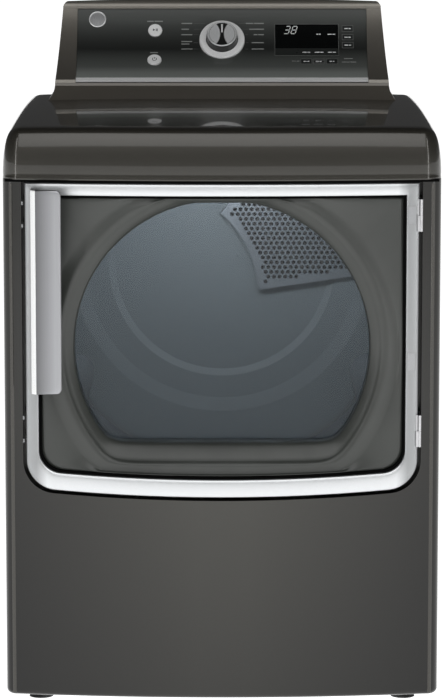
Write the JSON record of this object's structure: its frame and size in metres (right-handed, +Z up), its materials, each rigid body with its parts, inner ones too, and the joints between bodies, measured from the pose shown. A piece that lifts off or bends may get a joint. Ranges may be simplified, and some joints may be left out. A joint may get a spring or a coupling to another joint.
{
  "type": "clothes dryer",
  "caption": "Front-loading clothes dryer with bowed front, side-hung window door, rollered drum, sloped rear console with selector knob, and levelling feet.",
  "frame": {"origin": "on the floor, under the middle of the machine's box", "axes": "+Z up, -Y towards the user at the door, +X to the user's right"},
  "size_m": [0.711, 0.772, 1.124],
  "materials": {
    "cabinet_paint": "satin metallic paint, warm dark grey",
    "lid_enamel": "gloss metallic paint, warm dark grey",
    "console_shell": "metallic paint on plastic",
    "fascia_gloss": "gloss, printed",
    "silver_trim": "brushed silver",
    "liner_gloss": "gloss dark grey",
    "window_glass": "clear tinted",
    "inner_enamel": "grey enamel",
    "galvanised": "galvanised sheet",
    "drum_steel": "satin",
    "white_plastic": "matt",
    "grey_plastic": "matt",
    "black_plastic": "matt",
    "black_rubber": "matt",
    "felt": "needled felt",
    "knob_metal": "spun aluminium",
    "bright_steel": "bright",
    "board": "circuit board"
  },
  "bodies": {
    "cabinet": {"left_side_panel": "cabinet_paint", "right_side_panel": "cabinet_paint", "rear_panel": "galvanised", "base_pan": "galvanised", "front_panel": "cabinet_paint", "front_bulkhead": "inner_enamel", "drum_front_support": "inner_enamel", "drum_felt_seals": "felt", "rear_bulkhead": "drum_steel", "rear_air_grille": "silver_trim", "cabinet_hinges": "bright_steel", "hinge_hole_plugs": "silver_trim", "door_catch_and_switch": "white_plastic", "drum_lamp_lens": "window_glass", "moisture_sensor_bars": "bright_steel", "top_lid": "lid_enamel", "console_base": "lid_enamel", "console_end_caps": "console_shell", "console_back_cover": "console_shell", "console_fascia": "fascia_gloss", "console_trim_strip": "silver_trim", "control_board": "board", "knob_bezel": "knob_metal", "roller_axles": "bright_steel", "drive_belt": "black_rubber", "motor_body": "galvanised", "motor_bracket": "galvanised", "lint_duct": "grey_plastic", "blower_housing": "grey_plastic", "exhaust_duct": "galvanised", "heater_housing": "galvanised", "heater_coils": "bright_steel", "terminal_cover": "galvanised", "cabinet_screws": "bright_steel"},
    "door": {"door_ring": "silver_trim", "hinge_screw_covers": "silver_trim", "door_liner": "liner_gloss", "door_window": "window_glass", "door_back_frame": "inner_enamel", "door_seal": "black_rubber", "door_hinges": "bright_steel", "door_strike": "bright_steel", "door_handle": "silver_trim"},
    "drum": {"drum_shell": "drum_steel", "drum_baffles": "grey_plastic"},
    "roller_left": {"drum_roller_left": "black_rubber"},
    "roller_right": {"drum_roller_right": "black_rubber"},
    "rotor": {"motor_rotor": "bright_steel", "blower_wheel": "white_plastic"},
    "idler": {"idler_arm": "bright_steel"},
    "idler_wheel": {"idler_pulley": "white_plastic"},
    "knob": {"selector_knob": "knob_metal"},
    "start_key": {"start_button": "silver_trim"},
    "power_key": {"power_button": "silver_trim"},
    "switch_plunger": {"door_switch_plunger": "white_plastic"},
    "filter": {"lint_filter": "grey_plastic"},
    "foot_fl": {"foot_front_left": "black_plastic"},
    "foot_fr": {"foot_front_right": "black_plastic"},
    "foot_rl": {"foot_rear_left": "black_plastic"},
    "foot_rr": {"foot_rear_right": "black_plastic"}
  },
  "joints": [
    {"name": "door_swing", "type": "hinge", "parent": "cabinet", "child": "door", "pos_m": [0.3214, -0.339, 0.6], "axis": [0, 0, 1], "range_deg": [0, 130]},
    {"name": "drum_spin", "type": "hinge", "parent": "cabinet", "child": "drum", "pos_m": [0, -0.1, 0.612], "axis": [0, 1, 0], "continuous": true},
    {"name": "roller_left_spin", "type": "hinge", "parent": "cabinet", "child": "roller_left", "pos_m": [-0.22188, 0.281, 0.328], "axis": [0, 1, 0], "continuous": true},
    {"name": "roller_right_spin", "type": "hinge", "parent": "cabinet", "child": "roller_right", "pos_m": [0.22188, 0.281, 0.328], "axis": [0, 1, 0], "continuous": true},
    {"name": "motor_spin", "type": "hinge", "parent": "cabinet", "child": "rotor", "pos_m": [-0.185, 0, 0.165], "axis": [0, 1, 0], "continuous": true},
    {"name": "idler_swing", "type": "hinge", "parent": "cabinet", "child": "idler", "pos_m": [-0.105, 0.076, 0.128], "axis": [0, 1, 0], "range_deg": [0, 12], "stiffness_Nm_per_rad": 2, "springref_deg": -8.59},
    {"name": "idler_spin", "type": "hinge", "parent": "idler", "child": "idler_wheel", "pos_m": [-0.088, 0.065, 0.236], "axis": [0, 1, 0], "continuous": true},
    {"name": "knob_turn", "type": "hinge", "parent": "cabinet", "child": "knob", "pos_m": [0, 0.25869, 1.05252], "axis": [0, -0.7923, 0.6101], "continuous": true},
    {"name": "start_press", "type": "slide", "parent": "cabinet", "child": "start_key", "axis": [0, 0.8434, -0.5373], "range_m": [0, 0.0018], "stiffness_N_per_m": 900, "springref_m": -0.001},
    {"name": "power_press", "type": "slide", "parent": "cabinet", "child": "power_key", "axis": [0, 0.6639, -0.7478], "range_m": [0, 0.0018], "stiffness_N_per_m": 900, "springref_m": -0.001},
    {"name": "plunger_slide", "type": "slide", "parent": "cabinet", "child": "switch_plunger", "axis": [0, -1, 0], "range_m": [0, 0.006]},
    {"name": "filter_lift", "type": "slide", "parent": "cabinet", "child": "filter", "axis": [0, 0, 1], "range_m": [0, 0.16]},
    {"name": "foot_fl_turn", "type": "hinge", "parent": "cabinet", "child": "foot_fl", "pos_m": [-0.3, -0.275, 0.02], "axis": [0, 0, 1], "continuous": true},
    {"name": "foot_fr_turn", "type": "hinge", "parent": "cabinet", "child": "foot_fr", "pos_m": [0.3, -0.275, 0.02], "axis": [0, 0, 1], "continuous": true},
    {"name": "foot_rl_turn", "type": "hinge", "parent": "cabinet", "child": "foot_rl", "pos_m": [-0.3, 0.3, 0.02], "axis": [0, 0, 1], "continuous": true},
    {"name": "foot_rr_turn", "type": "hinge", "parent": "cabinet", "child": "foot_rr", "pos_m": [0.3, 0.3, 0.02], "axis": [0, 0, 1], "continuous": true}
  ],
  "couplings": [
    {"joint": "roller_left_spin", "follows": "drum_spin", "ratio": -8.4737},
    {"joint": "roller_right_spin", "follows": "drum_spin", "ratio": -8.4737},
    {"joint": "motor_spin", "follows": "drum_spin", "ratio": 32.2},
    {"joint": "idler_spin", "follows": "drum_spin", "ratio": -16.1},
    {"joint": "plunger_slide", "follows": "door_swing", "m_per_rad": 0.0026444}
  ]
}
